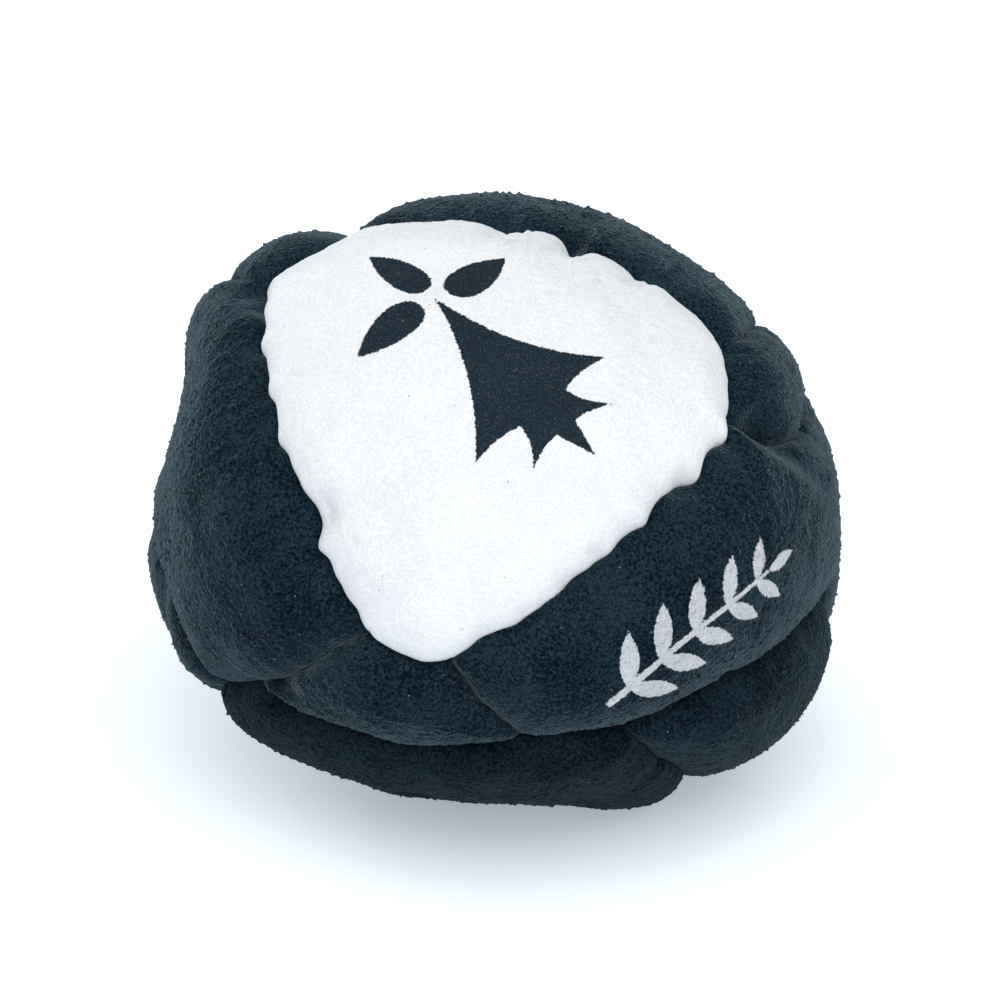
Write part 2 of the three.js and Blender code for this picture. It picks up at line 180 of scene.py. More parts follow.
class FootbagBody(bpy.types.PropertyGroup):
    """Sizes of the filled bag, measured from its middle."""

    half_width: FloatProperty(
        name="Half Width", description="Middle to side, along the lean", default=28.9 * MM, unit="LENGTH")
    half_depth: FloatProperty(
        name="Half Depth", description="Middle to front", default=27.0 * MM, unit="LENGTH")
    top_height: FloatProperty(
        name="Top Height", description="Middle to top", default=28.0 * MM, unit="LENGTH")
    bottom_depth: FloatProperty(
        name="Bottom Depth", description="Middle to underside, before the floor flattens it",
        default=21.2 * MM, unit="LENGTH")
    middle_height: FloatProperty(
        name="Middle Height", description="Middle over the floor", default=20.0 * MM, unit="LENGTH")
    rest_offset: FloatProperty(
        name="Rest Offset", description="Resting point to the right of the middle",
        default=0.7 * MM, unit="LENGTH")
    lean: FloatProperty(
        name="Lean", description="Turn of the body to the right",
        default=math.radians(-11.5), unit="ROTATION")
    top_tilt: FloatProperty(
        name="Top Panel Tilt", description="Rise of the white panel's facing way",
        default=math.radians(53), unit="ROTATION")
    top_turn: FloatProperty(
        name="Top Panel Turn", description="Turn of the white panel to the left",
        default=math.radians(8), unit="ROTATION")
    top_squareness: FloatProperty(
        name="Top Squareness", description="Nothing is an ellipse, more is squarer", default=0.14)
    bottom_squareness: FloatProperty(
        name="Bottom Squareness", description="Nothing is an ellipse, more is squarer", default=-0.01)
    swell_height: FloatProperty(
        name="Swell Height", description="Largest swell or hollow of the filling",
        default=2.4 * MM, unit="LENGTH")


class FootbagSuede(bpy.types.PropertyGroup):
    """The suede panels and the seams between them."""

    thickness: FloatProperty(
        name="Thickness", description="Suede with its nap", default=0.9 * MM, unit="LENGTH")
    allowance: FloatProperty(
        name="Seam Allowance", description="Depth that the edges turn in", default=1.8 * MM, unit="LENGTH")
    edge_gap: FloatProperty(
        name="Edge Gap", description="Between two sewn edges, under the nap",
        default=0.012 * MM, unit="LENGTH")
    groove_depth: FloatProperty(
        name="Groove Depth", description="Seam below the bag's round", default=2.0 * MM, unit="LENGTH")
    shoulder: FloatProperty(
        name="Shoulder", description="From the seam to where a panel has risen",
        default=5.0 * MM, unit="LENGTH")
    crown_height: FloatProperty(
        name="Crown Height", description="Middle of a panel over the bag's round",
        default=0.9 * MM, unit="LENGTH")
    crown_spread: FloatProperty(
        name="Crown Spread", description="Distance over which a crown grows",
        default=7.0 * MM, unit="LENGTH")
    fold_depth: FloatProperty(
        name="Fold Depth", description="Deepest fold in a panel", default=1.2 * MM, unit="LENGTH")
    fold_width: FloatProperty(
        name="Fold Width", description="Half width of a fold", default=1.7 * MM, unit="LENGTH")
    nap_height: FloatProperty(
        name="Nap Height", description="Tufts of the nap over the hide", default=0.1 * MM, unit="LENGTH")
    nap_size: FloatProperty(
        name="Nap Size", description="Width of a tuft of nap", default=0.45 * MM, unit="LENGTH")
    strand_height: FloatProperty(
        name="Strand Height", description="Single strands of the nap", default=0.5 * MM, unit="LENGTH")
    lump_height: FloatProperty(
        name="Lump Height", description="Grains pressing through the suede",
        default=0.3 * MM, unit="LENGTH")
    lump_size: FloatProperty(
        name="Lump Size", description="Distance between two lumps", default=4.5 * MM, unit="LENGTH")
    dark: FloatVectorProperty(
        name="Dark Suede", description="Dark suede, nap brushed down", subtype="COLOR", size=4,
        default=(0.002, 0.006, 0.0125, 1))
    dark_raised: FloatVectorProperty(
        name="Dark Suede Raised", description="Dark suede, nap brushed up", subtype="COLOR", size=4,
        default=(0.0205, 0.04, 0.056, 1))
    white: FloatVectorProperty(
        name="White Suede", description="White suede, nap brushed down", subtype="COLOR", size=4,
        default=(0.75, 0.77, 0.79, 1))
    white_raised: FloatVectorProperty(
        name="White Suede Raised", description="White suede, nap brushed up", subtype="COLOR", size=4,
        default=(0.87, 0.88, 0.89, 1))
    lint: FloatVectorProperty(
        name="Lint", description="Specks of lint in the nap", subtype="COLOR", size=4,
        default=(0.2, 0.23, 0.25, 1))
    sheen: FloatProperty(
        name="Sheen", description="Light that the nap throws back at its rim",
        default=0.42, subtype="FACTOR")


class FootbagStitches(bpy.types.PropertyGroup):
    """The stitches that draw the seams together."""

    pitch: FloatProperty(
        name="Stitch Pitch", description="From one stitch to the next", default=3.6 * MM, unit="LENGTH")
    scallop: FloatProperty(
        name="Scallop", description="Sideways wave of a seam between stitches",
        default=0.5 * MM, unit="LENGTH")
    pucker_depth: FloatProperty(
        name="Pucker Depth", description="Pucker at each stitch", default=0.2 * MM, unit="LENGTH")
    pucker_reach: FloatProperty(
        name="Pucker Reach", description="How far a pucker runs into the panel",
        default=1.6 * MM, unit="LENGTH")
    thread: FloatProperty(
        name="Thread", description="Diameter of the thread", default=0.26 * MM, unit="LENGTH")
    thread_color: FloatVectorProperty(
        name="Thread Colour", description="Sewing thread", subtype="COLOR", size=4,
        default=(0.003, 0.007, 0.011, 1))
    seed: IntProperty(name="Seed", description="Changes the play of the stitches", default=7)


class FootbagPrint(bpy.types.PropertyGroup):
    """The prints on the panels."""

    spot_length: FloatProperty(
        name="Spot Length", description="Tail of the ermine spot", default=19.3 * MM, unit="LENGTH")
    sprig_length: FloatProperty(
        name="Sprig Length", description="Leaf sprig on a dark panel", default=19.0 * MM, unit="LENGTH")
    raggedness: FloatProperty(
        name="Raggedness", description="Wander of a print's edge in the nap",
        default=0.12 * MM, unit="LENGTH")
    dark_ink: FloatVectorProperty(
        name="Dark Ink", description="Ink on the white panel", subtype="COLOR", size=4,
        default=(0.016, 0.028, 0.04, 1))
    white_ink: FloatVectorProperty(
        name="White Ink", description="Ink on the dark panel", subtype="COLOR", size=4,
        default=(0.66, 0.68, 0.72, 1))


class FootbagStage(bpy.types.PropertyGroup):
    """Floor, lights and camera."""

    camera_distance: FloatProperty(
        name="Camera Distance", description="Camera to the bag", default=0.3, unit="LENGTH")
    camera_rise: FloatProperty(
        name="Camera Rise", description="Camera over the floor's level",
        default=math.radians(25), unit="ROTATION")
    aim_height: FloatProperty(
        name="Aim Height", description="Point that the camera looks at", default=24.2 * MM, unit="LENGTH")
    lens: FloatProperty(name="Lens", description="Focal length", default=130, unit="CAMERA")
    floor_width: FloatProperty(name="Floor Width", description="Side of the floor", default=6, unit="LENGTH")
    floor_color: FloatVectorProperty(
        name="Floor Colour", description="Pale floor", subtype="COLOR", size=4,
        default=(0.86, 0.88, 0.9, 1))
    floor_glow: FloatProperty(
        name="Floor Glow", description="Light from beneath the floor", default=0.38, subtype="FACTOR")
    surroundings: FloatProperty(
        name="Surroundings", description="Light of the pale room", default=0.4, subtype="FACTOR")


SETTINGS = {
    "footbag_body": FootbagBody,
    "footbag_suede": FootbagSuede,
    "footbag_stitches": FootbagStitches,
    "footbag_print": FootbagPrint,
    "footbag_stage": FootbagStage,
}


# Directions and noise


def unit(vectors):
    """Vectors brought to length one along their last axis."""
    return vectors / np.linalg.norm(vectors, axis=-1, keepdims=True)


def lattice_noise(points, size, seed):
    """Smooth noise from -1 to 1 with features of the given size."""
    scaled = points / size
    cell = np.floor(scaled).astype(np.int64)
    share = scaled - cell
    share = share * share * (3 - 2 * share)
    total = np.zeros(len(points))
    for corner in np.ndindex(2, 2, 2):
        node = (cell + corner).astype(np.uint64)
        code = node[:, 0] * np.uint64(73856093) ^ node[:, 1] * np.uint64(19349663)
        code ^= node[:, 2] * np.uint64(83492791)
        code = (code + np.uint64(seed * 2654435761 % 2**32)) * np.uint64(2246822519)
        code ^= code >> np.uint64(15)
        code *= np.uint64(3266489917)
        code ^= code >> np.uint64(29)
        value = (code & np.uint64(0xFFFF)).astype(float) / 0x7FFF - 1
        weight = np.prod(np.where(corner, share, 1 - share), axis=1)
        total += value * weight
    return total


# The bag's surface


class Seam:
    """One seam on the unit sphere, from its first corner by name to the other."""

    def __init__(self, bag, name, number):
        self.name = name
        self.start, end = (bag.corner_ways[corner] for corner in name)
        self.angle = math.acos(self.start @ end)
        self.left = unit(np.cross(self.start, end))
        self.ahead = np.cross(self.left, self.start)
        self.bow = math.radians(BOW_ANGLES.get(name, 0))
        self.depth = bag.suede.groove_depth * (1 + DEEP_SEAM_SHARES.get(name, 0))
        self.stitches = self.angle * bag.mean_radius / bag.stitches.pitch
        self.scallop = bag.stitches.scallop / bag.mean_radius
        self.pitch = bag.stitches.pitch / bag.mean_radius
        self.phases = np.random.default_rng([bag.stitches.seed, number]).uniform(0, 2 * math.pi, 4)

    def puff(self, share):
        """0 at a stitch and 1 half way to the next, with the size of that puff."""
        place = share * self.stitches
        drift = 0.3 * np.sin(0.9 * place + self.phases[0]) + 0.15 * np.sin(2.3 * place + self.phases[1])
        size = 0.55 + 0.45 * np.sin(0.8 * place + self.phases[2])
        return np.sin(math.pi * (place + drift)) ** 2, size

    def sideways(self, share):
        """Shift of the seam to its left: the bow, the waves between stitches, and nips."""
        place = share * self.stitches
        wave = sum(
            size * np.sin(rate * place + phase) for (rate, size), phase in zip(SEAM_WAVES, self.phases))
        ends = np.clip(np.minimum(share, 1 - share) * self.stitches, 0, 1)
        shift = 4 * self.bow * share * (1 - share) + self.scallop * wave * ends / WAVE_DIVISOR
        for place, depth, width in SEAM_NIPS.get(self.name, ()):
            away = (share - place) * self.stitches / width
            shift = shift + self.pitch * depth * np.exp(-away * away)
        return shift

    def way(self, share):
        """Direction at a share of the seam's way."""
        turn = share[..., None] * self.angle
        way = np.cos(turn) * self.start + np.sin(turn) * self.ahead
        return unit(way + self.sideways(share)[..., None] * self.left)

    def nearest(self, ways):
        """Share of the seam nearest to each direction, and the distance to it as an angle."""
        along, ahead, side = ways @ self.start, ways @ self.ahead, ways @ self.left
        place = np.arctan2(ahead, along) / self.angle
        offset = side / np.hypot(along, ahead)
        share = np.clip(place, 0, 1)
        step = 0.02 / self.stitches
        for _ in range(3):
            slope = (self.sideways(share + step) - self.sideways(share - step)) / (2 * step * self.angle)
            slope = np.clip(slope, -1, 1)
            move = (place - share) * self.angle + (offset - self.sideways(share)) * slope
            share = np.clip(share + move / (1 + slope * slope) / self.angle, 0, 1)
        return share, np.linalg.norm(self.way(share) - ways, axis=1)


class Bag:
    """The outside of the filled bag, from the scene's settings."""

    def __init__(self, scene):
        self.body = scene.footbag_body
        self.suede = scene.footbag_suede
        self.stitches = scene.footbag_stitches
        body = self.body
        tilt, turn = body.top_tilt, body.top_turn
        self.top_way = np.array(
            [-math.sin(turn) * math.cos(tilt), -math.cos(turn) * math.cos(tilt), math.sin(tilt)])
        self.right_way = np.array([math.cos(turn), -math.sin(turn), 0])
        self.back_way = np.cross(self.top_way, self.right_way)
        self.middle = np.array([-body.rest_offset, 0, body.middle_height])
        half_height = (body.top_height + body.bottom_depth) / 2
        self.mean_radius = (body.half_width + body.half_depth + half_height) / 3
        self.corner_ways = {name: self.way_of(*angles) for name, angles in CORNER_ANGLES.items()}
        self.seams = {}
        for loop in PANELS.values():
            for corner, following in zip(loop, loop[1:] + loop[:1]):
                name = tuple(sorted((corner, following)))
                if name not in self.seams:
                    self.seams[name] = Seam(self, name, len(self.seams))

    def way_of(self, angle, turn):
        """Direction from the bag's middle at an angle from the top panel's middle and a turn round it."""
        a, t = math.radians(angle), math.radians(turn)
        return (math.cos(a) * self.top_way
                + math.sin(a) * (math.cos(t) * self.right_way + math.sin(t) * self.back_way))

    def seam_between(self, corner, following):
        """The seam from one corner to the next, and whether it is named the other way round."""
        name = tuple(sorted((corner, following)))
        return self.seams[name], name[0] != corner

    def seams_near(self, corners):
        """The seams that meet any of the corners."""
        return [seam for name, seam in self.seams.items() if name[0] in corners or name[1] in corners]

    def body_radius(self, ways):
        """The slumped body without panels: two half forms that meet at its leaning girth."""
        body = self.body
        along = ways[:, 0] * math.cos(body.lean) + ways[:, 2] * math.sin(body.lean)
        up = ways[:, 2] * math.cos(body.lean) - ways[:, 0] * math.sin(body.lean)
        power = 2 * (1 + np.where(up > 0, body.top_squareness, body.bottom_squareness))
        height = np.where(up > 0, body.top_height, body.bottom_depth)
        flat = np.hypot(along / body.half_width, ways[:, 1] / body.half_depth)
        return (flat**power + np.abs(up / height) ** power) ** (-1 / power)

    def swell(self, ways):
        """Swells and hollows of the filling."""
        total = np.zeros(len(ways))
        for angle, turn, share, spread in SWELL_SHARES:
            away = np.arccos(np.clip(ways @ self.way_of(angle, turn), -1, 1)) / math.radians(spread)
            total += self.body.swell_height * share * np.exp(-away * away)
        return total

    def folds(self, ways):
        """Depth of the folds in the panels."""
        total = np.zeros(len(ways))
        for start, end, start_share, end_share, width_share in FOLD_SHARES:
            first, last = self.way_of(*start), self.way_of(*end)
            run = last - first
            share = np.clip((ways - first) @ run / (run @ run), 0, 1)
            away = np.linalg.norm(ways - first - share[:, None] * run, axis=1) * self.mean_radius
            depth = self.suede.fold_depth * (start_share + (end_share - start_share) * share)
            total += depth * np.exp(-((away / (self.suede.fold_width * width_share)) ** 2))
        return total

    def seam_relief(self, ways, seams):
        """Height over the bag's round near the seams, and the distance to the nearest one."""
        suede, stitches = self.suede, self.stitches
        groove = np.zeros(len(ways))
        puckers = np.zeros(len(ways))
        least = np.full(len(ways), np.inf)
        for seam in seams:
            share, away = seam.nearest(ways)
            away = away * self.mean_radius
            least = np.minimum(least, away)
            rise = np.clip(away / suede.shoulder, 0, 1)
            groove += (seam.depth * (1 - np.sqrt(1 - (1 - rise) ** 2))) ** SEAM_BLEND
            puff, size = seam.puff(share)
            puckers += size * (1 - puff) ** 1.5 * np.exp(-away / stitches.pucker_reach)
        crown = suede.crown_height * (1 - np.exp(-((least / suede.crown_spread) ** 2)))
        return crown - groove ** (1 / SEAM_BLEND) - stitches.pucker_depth * puckers, least

    def nap(self, ways, strand_share):
        """Lumps of the filling, and tufts and strands of the nap."""
        suede = self.suede
        points = ways * self.mean_radius
        lumps = lattice_noise(points, suede.lump_size, seed=3)
        lumps = lumps + 0.5 * lattice_noise(points, suede.lump_size / 2, seed=4)
        tufts = lattice_noise(points, suede.nap_size, seed=1)
        tufts = tufts + 0.5 * lattice_noise(points, suede.nap_size / 2, seed=2)
        strands = np.clip(lattice_noise(points, suede.nap_size / 3, seed=5) - 0.25, 0, 1) ** 2
        height = suede.lump_height * lumps / 2 + suede.nap_height * tufts / 2
        return height + suede.strand_height * strand_share * strands

    def radius(self, ways, seams, fine=True, strand_share=1.0):
        """Outside of the suede, flat where it rests on the floor, and the distance to the nearest seam."""
        relief, least = self.seam_relief(ways, seams)
        free = self.body_radius(ways) + self.swell(ways) - self.folds(ways) + relief
        if fine:
            free += self.nap(ways, strand_share) * np.clip(least / self.suede.nap_size, 0, 1)
        down = np.maximum(-ways[:, 2], 1e-9)
        return np.minimum(free, np.where(ways[:, 2] < 0, self.middle[2] / down, np.inf)), least

    def points(self, ways, radius):
        """Places at a radius along each direction."""
        return self.middle + ways * radius[:, None]


# Panel meshes


def mesh_piece(name, places, faces):
    """A smooth mesh as an object in the scene."""
    mesh = bpy.data.meshes.new(name)
    mesh.from_pydata(places, [], faces)
    mesh.shade_smooth()
    piece = bpy.data.objects.new(name, mesh)
    bpy.context.scene.collection.objects.link(piece)
    return piece


def panel_outline(bag, loop, step):
    """Directions round a panel on its seams, about a step apart, a multiple of eight to each side."""
    ways = []
    for corner, following in zip(loop, loop[1:] + loop[:1]):
        seam, reverse = bag.seam_between(corner, following)
        count = 8 * max(1, round(seam.angle * bag.mean_radius / step / 8))
        shares = np.linspace(0, 1, count + 1)
        if reverse:
            shares = shares[::-1]
        ways.append(seam.way(shares[:-1]))
    return np.concatenate(ways)


def inset_outline(bag, outline, distance):
    """The outline moved to the panel's inside, with mitred corners, sharp ones trimmed."""
    before = unit(outline - np.roll(outline, 1, axis=0))
    after = unit(np.roll(outline, -1, axis=0) - outline)
    side_before, side_after = -np.cross(before, outline), -np.cross(after, outline)
    mitre = 1 + np.sum(side_before * side_after, axis=1, keepdims=True)
    step = (side_before + side_after) / np.maximum(mitre, LEAST_MITRE)
    return unit(outline + step * distance / bag.mean_radius)


def join_rings(faces, outer, inner):
    """Faces between two rings of vertex numbers, of which the inner has as many or half as many."""
    count = len(outer)
    if len(inner) == count:
        following = np.roll(np.arange(count), -1)
        faces.extend(zip(outer, outer[following], inner[following], inner))
        return
    for i in range(len(inner)):
        first, middle, last = outer[2 * i], outer[2 * i + 1], outer[(2 * i + 2) % count]
        near, far = inner[i], inner[(i + 1) % len(inner)]
        faces.append((first, middle, near))
        faces.append((middle, far, near))
        faces.append((middle, last, far))


def skin_shares(bag, outline, centre, step):
    """Shares of the way from the centre at which the outside has rings, finer near the seams."""
    reach = np.mean(np.arccos(np.clip(outline @ centre, -1, 1))) * bag.mean_radius
    inset, spacing, insets = 0.0, step / 4, []
    while inset + spacing < reach - step:
        inset += spacing
        insets.append(inset)
        spacing = min(spacing * 1.25, step)
    return [1 - value / reach for value in insets]


class PanelMesh:
    """Vertices and faces of one panel, from the middle of its outside round its edge to its lining side."""

    def __init__(self, bag, loop, step, strand_share):
        self.bag = bag
        self.strand_share = strand_share
        self.seams = bag.seams_near(loop)
        self.places, self.ways = [], []
        self.faces = []
        self.count = 0
        self.outline = panel_outline(bag, loop, step)
        self.centre = unit(self.outline.mean(axis=0))
        self.build(step)

    def ring(self, ways, radius):
        """Adds a ring of vertices and returns their numbers."""
        self.places.append(self.bag.points(ways, radius))
        self.ways.append(ways)
        numbers = np.arange(self.count, self.count + len(ways))
        self.count += len(ways)
        return numbers

    def build(self, step):
        """Outside, turned-in edge and lining side."""
        bag, suede = self.bag, self.bag.suede
        edge_radius, _ = bag.radius(self.outline, self.seams)
        rim = previous = self.ring(inset_outline(bag, self.outline, suede.edge_gap / 2), edge_radius)
        turned_in = (
            (suede.edge_gap, suede.allowance * 0.25),
            (suede.edge_gap * 2, suede.allowance),
            (suede.edge_gap * 2 + suede.thickness, suede.allowance),
        )
        for inset, drop in turned_in:
            numbers = self.ring(inset_outline(bag, self.outline, inset), edge_radius - drop)
            join_rings(self.faces, numbers, previous)
            previous = numbers
        for share in LINING_SHARES:
            ways = unit(self.centre + (self.outline - self.centre) * share)
            radius, _ = bag.radius(ways, self.seams, fine=False)
            numbers = self.ring(ways, radius - suede.thickness)
            join_rings(self.faces, numbers, previous)
            previous = numbers
        self.close(previous, suede.thickness, lining=True)
        self.outside(rim, step)

    def outside(self, rim, step):
        """The fine outer skin, with half as many points to a ring each time that it has halved in size."""
        bag = self.bag
        halvings = [0.5, 0.25, 0.125]
        every = 1
        stack = []
        for share in skin_shares(bag, self.outline, self.centre, step):
            if halvings and share < halvings[0]:
                halvings.pop(0)
                every *= 2
            stack.append(unit(self.centre + (self.outline[::every] - self.centre) * share))
        radius, _ = bag.radius(np.concatenate(stack), self.seams, strand_share=self.strand_share)
        previous, start = rim, 0
        for ways in stack:
            end = start + len(ways)
            numbers = self.ring(ways, radius[start:end])
            join_rings(self.faces, previous, numbers)
            previous, start = numbers, end
        self.close(previous, 0.0, lining=False)

    def close(self, ring, depth, lining):
        """Closes the last ring on the panel's middle."""
        radius, _ = self.bag.radius(self.centre[None], self.seams, strand_share=self.strand_share)
        tip = self.ring(self.centre[None], radius - depth)[0]
        for first, second in zip(ring, np.roll(ring, -1)):
            self.faces.append((second, first, tip) if lining else (first, second, tip))

    def object(self, name):
        """The panel as an object."""
        faces = [tuple(map(int, face)) for face in self.faces]
        return mesh_piece(name, np.concatenate(self.places).tolist(), faces)


# Threads


def thread_path(bag, corners):
    """Places of a thread that crosses its seams from side to side and dips between."""
    stitches = bag.stitches
    closed = corners[0] == corners[-1]
    places, outs = [], []
    side = 1
    for corner, following in zip(corners, corners[1:]):
        seam, reverse = bag.seam_between(corner, following)
        count = max(2, round(seam.stitches))
        shares = (np.arange(2 * count) + 0.5) / (2 * count)
        if reverse:
            shares = shares[::-1]
        ways = seam.way(shares)
        edge, _ = bag.radius(ways, bag.seams_near(seam.name), fine=False)
        for i, (way, radius) in enumerate(zip(ways, edge)):
            over = i % 2 == 0
            height = stitches.thread * (STITCH_OVER if over else STITCH_BETWEEN)
            across = seam.left * side * stitches.thread * (STITCH_ASIDE if over else 0)
            side = -side if over else side
            places.append(bag.middle + way * (radius + height) + across)
            outs.append(way)
    return places, outs, closed


def smooth_run(places, closed, parts):
    """Points on a smooth curve through the places, with so many parts between two."""
    places = np.array(places)
    if closed:
        padded = np.concatenate([places[-1:], places, places[:2]])
    else:
        padded = np.concatenate([2 * places[:1] - places[1:2], places, 2 * places[-1:] - places[-2:-1]])
    run = []
    for i in range(len(padded) - 3):
        p0, p1, p2, p3 = padded[i:i + 4]
        for t in np.arange(parts) / parts:
            run.append(0.5 * (2 * p1 + (p2 - p0) * t + (2 * p0 - 5 * p1 + 4 * p2 - p3) * t**2
                              + (3 * p1 - p0 - 3 * p2 + p3) * t**3))
    if not closed:
        run.append(places[-1])
    return np.array(run)


def thread_piece(name, places, outs, closed, radius):
    """A round thread along a smooth curve through the places."""
    sides, parts = 6, 4
    run = smooth_run(places, closed, parts)
    out = unit(smooth_run(outs, closed, parts))
    if closed:
        along = unit(np.roll(run, -1, axis=0) - np.roll(run, 1, axis=0))
    else:
        along = unit(np.gradient(run, axis=0))
    side = unit(np.cross(along, out))
    up = np.cross(side, along)
    turns = np.arange(sides) * 2 * math.pi / sides
    rings = run[:, None] + radius * (
        np.cos(turns)[None, :, None] * side[:, None] + np.sin(turns)[None, :, None] * up[:, None])
    count = len(run)
    faces = []
    for i in range(count if closed else count - 1):
        j = (i + 1) % count
        for k in range(sides):
            m = (k + 1) % sides
            faces.append((i * sides + k, i * sides + m, j * sides + m, j * sides + k))
    if not closed:
        faces.append(tuple(reversed(range(sides))))
        faces.append(tuple(range((count - 1) * sides, count * sides)))
    return mesh_piece(name, rings.reshape(-1, 3).tolist(), faces)


# Prints


def curve_points(start, control, end, count=12):
    """Points of a curve from start towards end, the end left out."""
    share = np.linspace(0, 1, count, endpoint=False)[:, None]
    start, control, end = (np.array(point, float) for point in (start, control, end))
    return (1 - share) ** 2 * start + 2 * share * (1 - share) * control + share**2 * end


def mirrored(half, end):
    """A closed outline from its right half, which starts on the upright axis, and its last point there."""
    return np.concatenate([half, [end], (half[1:] * (-1, 1))[::-1]])


def drop_outline(half_width):
    """A drop with its round end at the bottom and its tip at the top, one long."""
    widest = (half_width, 0.36)
    right = [
        curve_points((0, 0), (half_width, 0), widest),
        curve_points(widest, (0.95 * half_width, 0.66), (0, 1)),
    ]
    return mirrored(np.concatenate(right), (0, 1))


def leaf_outline():
    """A leaf pointed at both ends, one long."""
    return mirrored(curve_points((0, 0), (0.34, 0.42), (0, 1)), (0, 1))


def tail_outline():
    """The flared tail of an ermine spot with a fringe of five points, one long, hanging from its tip."""
    first, second, near, middle = (0.366, -0.652), (0.245, -0.86), (0.124, -0.658), (0.05, -0.8)
    right = [
        curve_points((0, 0), (0.07, -0.4), first),
        curve_points(first, (0.22, -0.625), near),
        curve_points(near, (0.14, -0.77), second),
        curve_points(second, (0.12, -0.79), middle),
        curve_points(middle, (0.03, -0.9), (0, -1)),
    ]
    outline = mirrored(np.concatenate(right), (0, -1))
    outline[:, 0] += 0.045 * np.sin(math.pi * outline[:, 1])
    return outline


def turned(outline, angle, scale=1.0, place=(0, 0)):
    """An outline scaled, turned anticlockwise and moved."""
    c, s = math.cos(angle), math.sin(angle)
    return outline @ np.array([[c, s], [-s, c]]) * scale + np.array(place)


def ermine_spot(length):
    """Outlines of the spot: a tail, and three drops round its tip, the right, middle and left one."""
    drops = (
        (-84, 0.31, 0.26, (0.055, -0.03)),
        (0, 0.34, 0.19, (0.01, 0.05)),
        (84, 0.31, 0.26, (-0.058, 0.006)),
    )
    outlines = [tail_outline() * length]
    for degrees, share, half_width, base in drops:
        place = (base[0] * length, base[1] * length)
        outlines.append(turned(drop_outline(half_width), math.radians(degrees), share * length, place))
    return outlines


def leaf_sprig(length):
    """Outlines of a sprig: a bent stem, pairs of leaves that shrink towards its tip, and a last leaf."""
    stem = curve_points((-0.5, -0.2), (-0.08, 0.06), (0.34, 0.1), 32) * length
    ahead = unit(np.gradient(stem, axis=0))
    left = ahead @ np.array([[0, 1], [-1, 0]])
    thick = np.linspace(0.02, 0.008, len(stem))[:, None] * length
    outlines = [np.concatenate([stem + left * thick, (stem - left * thick)[::-1]])]
    for share in (0.12, 0.32, 0.52, 0.72, 0.9):
        i = round(share * (len(stem) - 1))
        along = math.atan2(ahead[i, 1], ahead[i, 0]) - math.pi / 2
        size = (0.27 - 0.1 * share) * length
        for lean in (math.radians(52), math.radians(-52)):
            outlines.append(turned(leaf_outline(), along + lean, size, stem[i]))
    tip = math.atan2(ahead[-1, 1], ahead[-1, 0]) - math.pi / 2
    outlines.append(turned(leaf_outline(), tip, 0.17 * length, stem[-1]))
    return outlines


def distance_to_outlines(points, outlines):
    """Distance of flat points to the nearest outline, negative inside."""
    best = np.full(len(points), np.inf)
    for outline in outlines:
        following = np.roll(outline, -1, axis=0)
        least = np.full(len(points), np.inf)
        inside = np.zeros(len(points), bool)
        for (x0, y0), (x1, y1) in zip(outline, following):
            run = np.array([x1 - x0, y1 - y0])
            away = points - (x0, y0)
            share = np.clip(away @ run / (run @ run), 0, 1)
            least = np.minimum(least, np.linalg.norm(away - share[:, None] * run, axis=1))
            crosses = (points[:, 1] < y0) != (points[:, 1] < y1)
            if y0 != y1:
                inside ^= crosses & (points[:, 0] < x0 + (points[:, 1] - y0) / (y1 - y0) * (x1 - x0))
        best = np.minimum(best, np.where(inside, -least, least))
    return best


def add_print(panel, piece, outlines, place, turn):
    """Stores the distance to a print's edge on a panel; turn is the print's own turn there, in degrees."""
    bag = panel.bag
    centre = bag.way_of(*place)
    right = unit(np.cross(np.array([0, 0, 1.0]), centre))
    up = np.cross(centre, right)
    ways = np.concatenate(panel.ways)
    flat = np.stack([ways @ right, ways @ up], axis=1) / (ways @ centre)[:, None] * bag.mean_radius
    distance = np.full(len(flat), float(PRINT_REACH))
    near = (np.linalg.norm(flat, axis=1) < PRINT_REACH) & (ways @ centre > 0)
    laid = [turned(outline, math.radians(turn)) for outline in outlines]
    distance[near] = distance_to_outlines(flat[near], laid)
    stored = piece.data.attributes.new("print_distance", "FLOAT", "POINT")
    stored.data.foreach_set("value", distance.astype(np.float32))


# Shader groups


def new_group(name, inputs, outputs):
    """An empty shader group with number sockets."""
    group = bpy.data.node_groups.new(name, "ShaderNodeTree")
    for label, default in inputs.items():
        socket = group.interface.new_socket(label, in_out="INPUT", socket_type="NodeSocketFloat")
        socket.default_value = default
    for label in outputs:
        group.interface.new_socket(label, in_out="OUTPUT", socket_type="NodeSocketFloat")
    return group, group.nodes.new("NodeGroupInput"), group.nodes.new("NodeGroupOutput")


def set_inputs(tree, node, inputs):
    """Sets or links a node's inputs, given by name or number."""
    for name, value in inputs.items():
        if isinstance(value, bpy.types.NodeSocket):
            tree.links.new(value, node.inputs[name])
        else:
            node.inputs[name].default_value = value


def add_node(tree, kind, inputs=None, **values):
    """A node with its properties and inputs set."""
    node = tree.nodes.new(kind)
    for name, value in values.items():
        setattr(node, name, value)
    set_inputs(tree, node, inputs or {})
    return node


def math_node(tree, operation, first, second=0.0):
    """The result of a math node on two values or sockets."""
    node = add_node(tree, "ShaderNodeMath", operation=operation, inputs={0: first, 1: second})
    return node.outputs[0]


def noise_node(tree, vector, scale, detail=2.0, roughness=0.5):
    """The value of a noise texture."""
    inputs = {"Vector": vector, "Scale": scale, "Detail": detail, "Roughness": roughness}
    return add_node(tree, "ShaderNodeTexNoise", inputs=inputs).outputs["Fac"]


def ramp_node(tree, value, low, high):
    """A value brought from between low and high to between 0 and 1, clamped."""
    node = add_node(
        tree, "ShaderNodeMapRange", clamp=True, inputs={"Value": value, "From Min": low, "From Max": high})
    return node.outputs["Result"]


